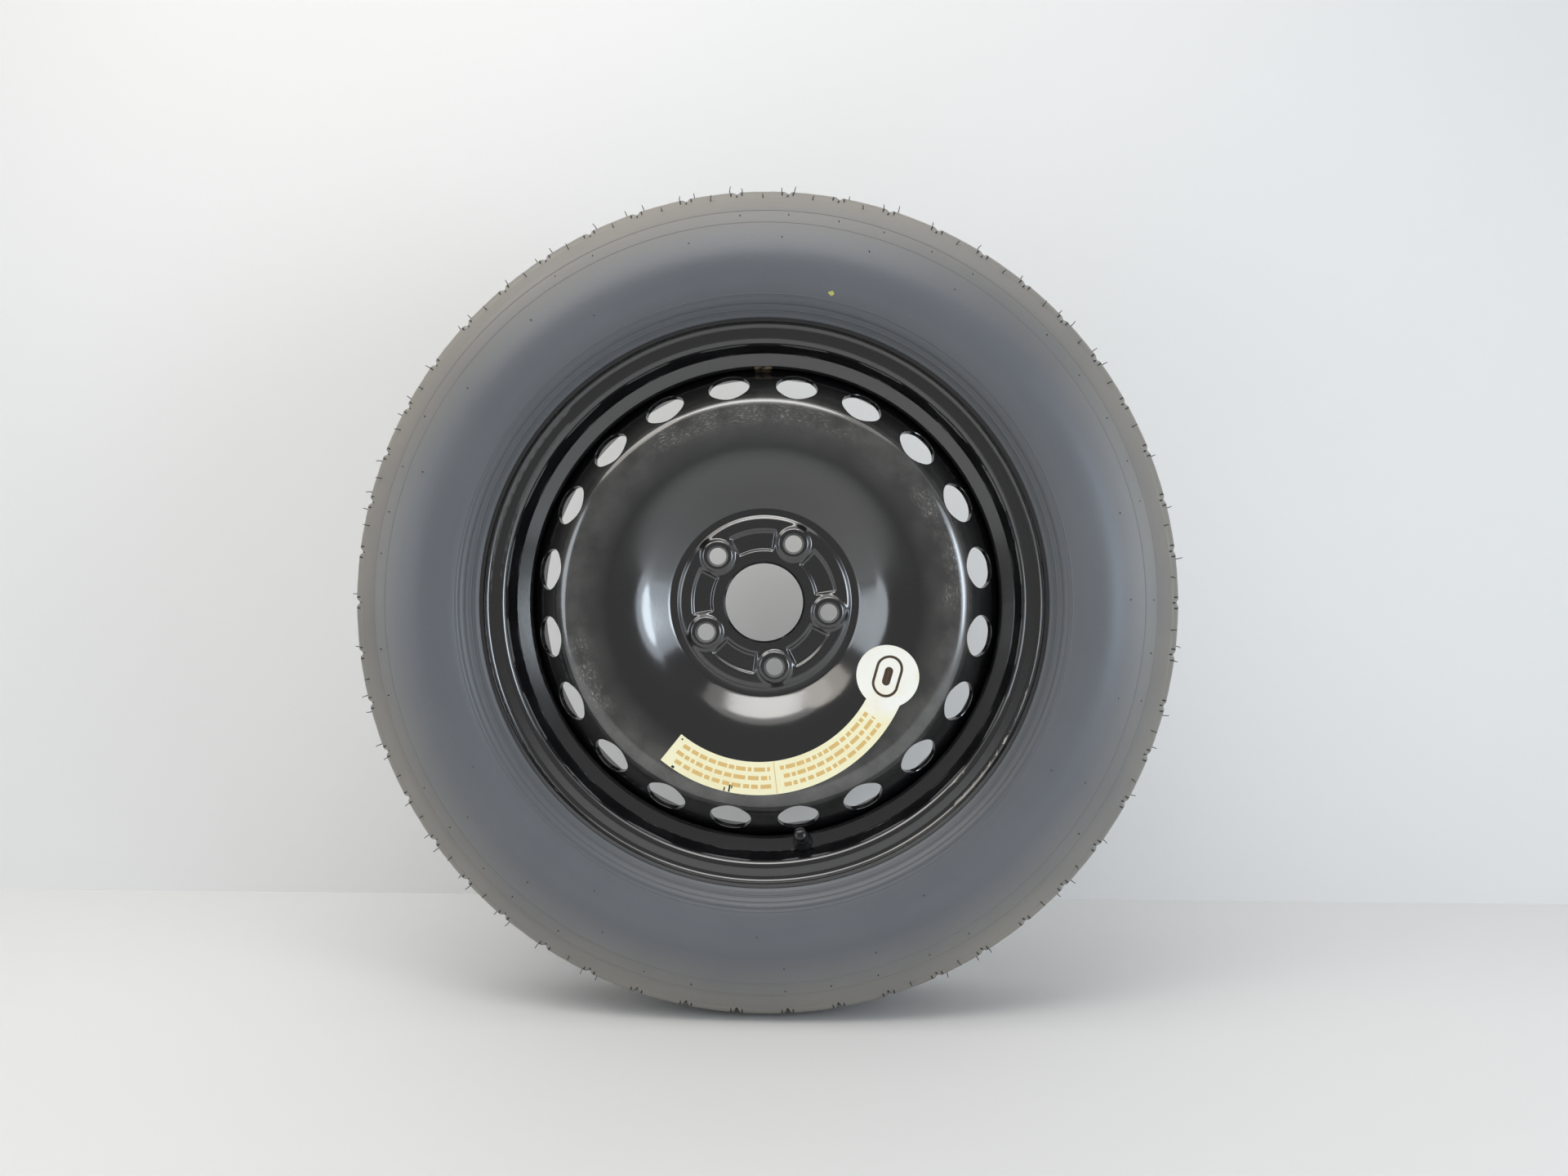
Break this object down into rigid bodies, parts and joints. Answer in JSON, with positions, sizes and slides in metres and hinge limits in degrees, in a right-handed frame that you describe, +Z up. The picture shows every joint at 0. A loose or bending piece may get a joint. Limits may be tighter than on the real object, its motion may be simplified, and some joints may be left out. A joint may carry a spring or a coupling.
{
  "type": "steel spare wheel",
  "caption": "Temporary spare wheel: narrow tyre on a welded pressed-steel rim and vented disc, with lug seats, snap-in valve and plain decal.",
  "frame": {"origin": "on the wheel axis, in the middle plane of the rim", "axes": "+Y along the wheel axis from the outboard face to the hub side, +Z up as the wheel stands on its tread, +X to the right seen from outboard"},
  "size_m": [0.696, 0.1656, 0.696],
  "materials": {
    "tyre_rubber": "moulded, slightly glossy",
    "black_paint": "gloss black dip coat",
    "painted_weld": "gloss black over weld bead",
    "decal_film": "satin film",
    "valve_rubber": "smooth",
    "seal_rubber": "smooth",
    "brass": "turned",
    "spring_steel": "drawn wire",
    "cap_plastic": "moulded"
  },
  "bodies": {
    "wheel": {"tyre": "tyre_rubber", "rim": "black_paint", "wheel_disc": "black_paint", "disc_welds": "painted_weld", "decal": "decal_film", "valve_body": "valve_rubber", "valve_stem": "brass", "valve_core_barrel": "brass", "valve_core_seal": "seal_rubber", "valve_core_spring": "spring_steel"},
    "core_pin": {"valve_core_pin": "brass", "valve_core_cup": "brass", "valve_cup_seal": "seal_rubber"},
    "cap_seal": {"valve_cap_seal": "seal_rubber"},
    "cap": {"valve_cap": "cap_plastic"}
  },
  "joints": [
    {"name": "core_press", "type": "slide", "parent": "wheel", "child": "core_pin", "axis": [0.0751, 0.8829, -0.4634], "range_m": [0, 0.0012], "stiffness_N_per_m": 1500, "springref_m": -0.001, "deforming": ["valve_core_spring"]},
    {"name": "cap_lift", "type": "slide", "parent": "wheel", "child": "cap_seal", "axis": [-0.0751, -0.8829, 0.4634], "range_m": [0, 0.00873]},
    {"name": "cap_turn", "type": "hinge", "parent": "cap_seal", "child": "cap", "pos_m": [0.03143, -0.04628, -0.19405], "axis": [-0.0751, -0.8829, 0.4634], "range_deg": [0, 3960]}
  ],
  "couplings": [
    {"joint": "cap_turn", "follows": "cap_lift", "rad_per_m": 7913.3}
  ]
}
